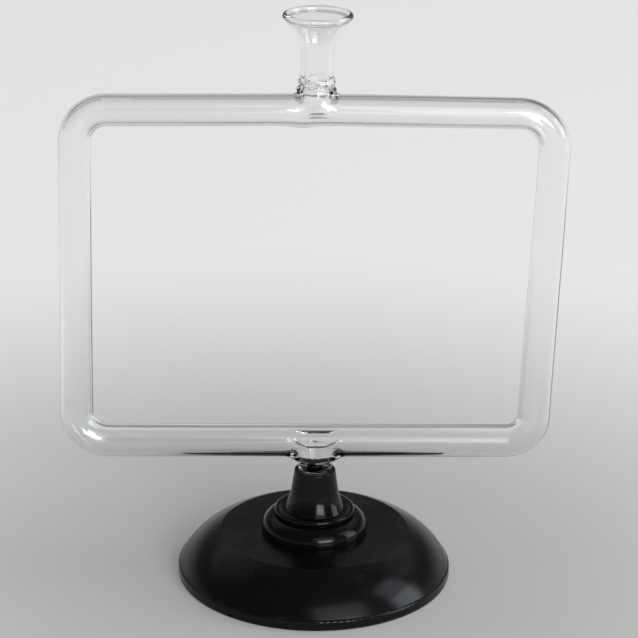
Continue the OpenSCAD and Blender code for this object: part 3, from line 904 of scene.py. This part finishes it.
def brass_material():
    """Old turned brass: dull and bright in patches, with the marks of turning."""
    material, tree, shader = new_material("screw_brass")
    place, radius, height = place_nodes(tree)
    cloud = noise(tree, place, scale=420.0, detail=4.0, roughness=0.6)
    turning = turning_marks(tree, radius, height, scale=2600.0, roughness=0.6)
    colour = mix_colour(tree, ramp(tree, cloud, 0.35, 0.7), BRASS_BRIGHT, BRASS_OLD)
    tree.links.new(colour, shader.inputs["Base Color"])
    shader.inputs["Metallic"].default_value = 1.0
    rough = ramp(tree, cloud, 0.3, 0.7, out_low=0.24, out_high=0.48)
    tree.links.new(rough, shader.inputs["Roughness"])
    tree.links.new(bump(tree, turning, distance=0.00003, strength=0.5), shader.inputs["Normal"])
    return material


def finish(name, material):
    """Gives a CAD node this material alone."""
    mesh = frame["nodes"][name].data
    mesh.materials.clear()
    mesh.materials.append(material)


base_wood = wood_material(
    "base_wood", grain_scale=(90.0, 1500.0, 1500.0), gloss=(0.15, 0.24),
    edges=BASE_EDGES, dustiness=0.05, specular=0.19,
)
pillar_wood = wood_material(
    "pillar_wood", grain_scale=(1500.0, 1500.0, 90.0), gloss=(0.09, 0.15),
    edges=PILLAR_EDGES, dustiness=0.03, specular=0.14,
)
glass.data.materials.append(glass_material())
finish("base", base_wood)
finish("pillar", pillar_wood)
finish("cork_sleeve", cork_material())
finish("pillar_screw", brass_material())


# Stage and light

def plane(name, size, z):
    """A level square that is part of the stage."""
    corners = [(-size, -size, z), (size, -size, z), (size, size, z), (-size, size, z)]
    mesh = bpy.data.meshes.new(name)
    mesh.from_pydata(corners, [], [(0, 1, 2, 3)])
    obj = bpy.data.objects.new(name, mesh)
    scene.collection.objects.link(obj)
    return obj


# The floor in metres, a hair below the base so that no face lies in another
FLOOR_SIZE, FLOOR_Z = 12.0, -0.0002
# Its colour as the light sees it and as the eye sees it
FLOOR_LIT, FLOOR_SEEN = (0.72, 0.72, 0.71), (0.4, 0.4, 0.395)
# Its glow to the eye, which grows from one distance to another: the glow is least near the object, a pool of
# painted shade round the base
FLOOR_GLOW = (1.0, 1.0, 0.99)
FLOOR_SHADE_NEAR, FLOOR_SHADE_FAR = 0.03, 0.55
FLOOR_PAINTED_SHADE_GLOW, FLOOR_LIFT_FAR = 0.16, 0.56
floor = plane("floor", FLOOR_SIZE, FLOOR_Z)
floor_material, floor_tree, floor_shader = new_material("floor")
floor_shader.inputs["Roughness"].default_value = 0.95
floor_shader.inputs["Specular IOR Level"].default_value = 0.1
ray = node(floor_tree, "ShaderNodeLightPath").outputs
seen = math_node(floor_tree, "MAXIMUM", ray["Is Camera Ray"], ray["Is Glossy Ray"])
seen = math_node(floor_tree, "MAXIMUM", seen, ray["Is Transmission Ray"])
floor_colour = mix_colour(floor_tree, seen, FLOOR_LIT, FLOOR_SEEN)
floor_tree.links.new(floor_colour, floor_shader.inputs["Base Color"])
_, floor_radius, _ = place_nodes(floor_tree)
# Painted shade: less glow near the object darkens the floor round it, as a broad shadow would
lift = ramp(floor_tree, floor_radius, FLOOR_SHADE_NEAR, FLOOR_SHADE_FAR, FLOOR_PAINTED_SHADE_GLOW, FLOOR_LIFT_FAR)
floor_shader.inputs["Emission Color"].default_value = (*FLOOR_GLOW, 1)
floor_tree.links.new(product(floor_tree, seen, lift), floor_shader.inputs["Emission Strength"])
floor.data.materials.append(floor_material)

# The world: a pale room at eye level and high up at the back, darker overhead and in front
ROOM_DARK, ROOM_PALE = (0.14, 0.14, 0.145), (0.5, 0.5, 0.49)
world = bpy.data.worlds.new("world")
scene.world = world
world.use_nodes = True
tree = world.node_tree
way = node(tree, "ShaderNodeTexCoord").outputs["Generated"]
parts = node(tree, "ShaderNodeSeparateXYZ", {0: way}).outputs
low = ramp(tree, parts["Z"], 0.1, 0.3, out_low=1.0, out_high=0.0)
high = product(
    tree,
    ramp(tree, parts["Z"], 0.45, 0.56),
    ramp(tree, parts["Z"], 0.75, 0.88, out_low=1.0, out_high=0.0),
)
high = product(tree, high, ramp(tree, parts["Y"], 0.1, 0.45))
room = mix_colour(tree, math_node(tree, "MAXIMUM", low, high), ROOM_DARK, ROOM_PALE)
tree.links.new(room, tree.nodes["Background"].inputs["Color"])
tree.nodes["Background"].inputs["Strength"].default_value = 1.0

# The lamps: azimuth to the right of the front and elevation in degrees, distance, width and height in metres,
# radiance and colour. All of them face one place in the object
DAYLIGHT, SKYLIGHT = (1.0, 0.99, 0.97), (0.84, 0.9, 1.0)
LAMPS = [
    ("window_front", 23, 15.5, 6.0, 2.93, 1.98, 11.0, DAYLIGHT),
    ("window_glow", 23.5, 27, 6.2, 4.4, 4.7, 1.7, DAYLIGHT),
    ("window_side", 86, 16, 6.0, 2.54, 2.93, 5.0, SKYLIGHT),
    ("side_glow", 86, 40, 6.2, 2.54, 2.6, 2.2, SKYLIGHT),
]
LAMP_TARGET = (0, 0, 0.13)


def area_light(name, azimuth, elevation, distance, width, height, radiance, colour):
    """A soft rectangular lamp that the camera doesn't see."""
    a, e = math.radians(azimuth), math.radians(elevation)
    target = Vector(LAMP_TARGET)
    way = Vector((math.sin(a) * math.cos(e), -math.cos(a) * math.cos(e), math.sin(e)))
    data = bpy.data.lights.new(name, "AREA")
    data.shape = "RECTANGLE"
    data.size, data.size_y = width, height
    data.energy = radiance * math.pi * width * height
    data.color = colour
    light = bpy.data.objects.new(name, data)
    light.matrix_world = aim(target + way * distance, -way, 0.0)
    light.visible_camera = False
    scene.collection.objects.link(light)


for lamp in LAMPS:
    area_light(*lamp)
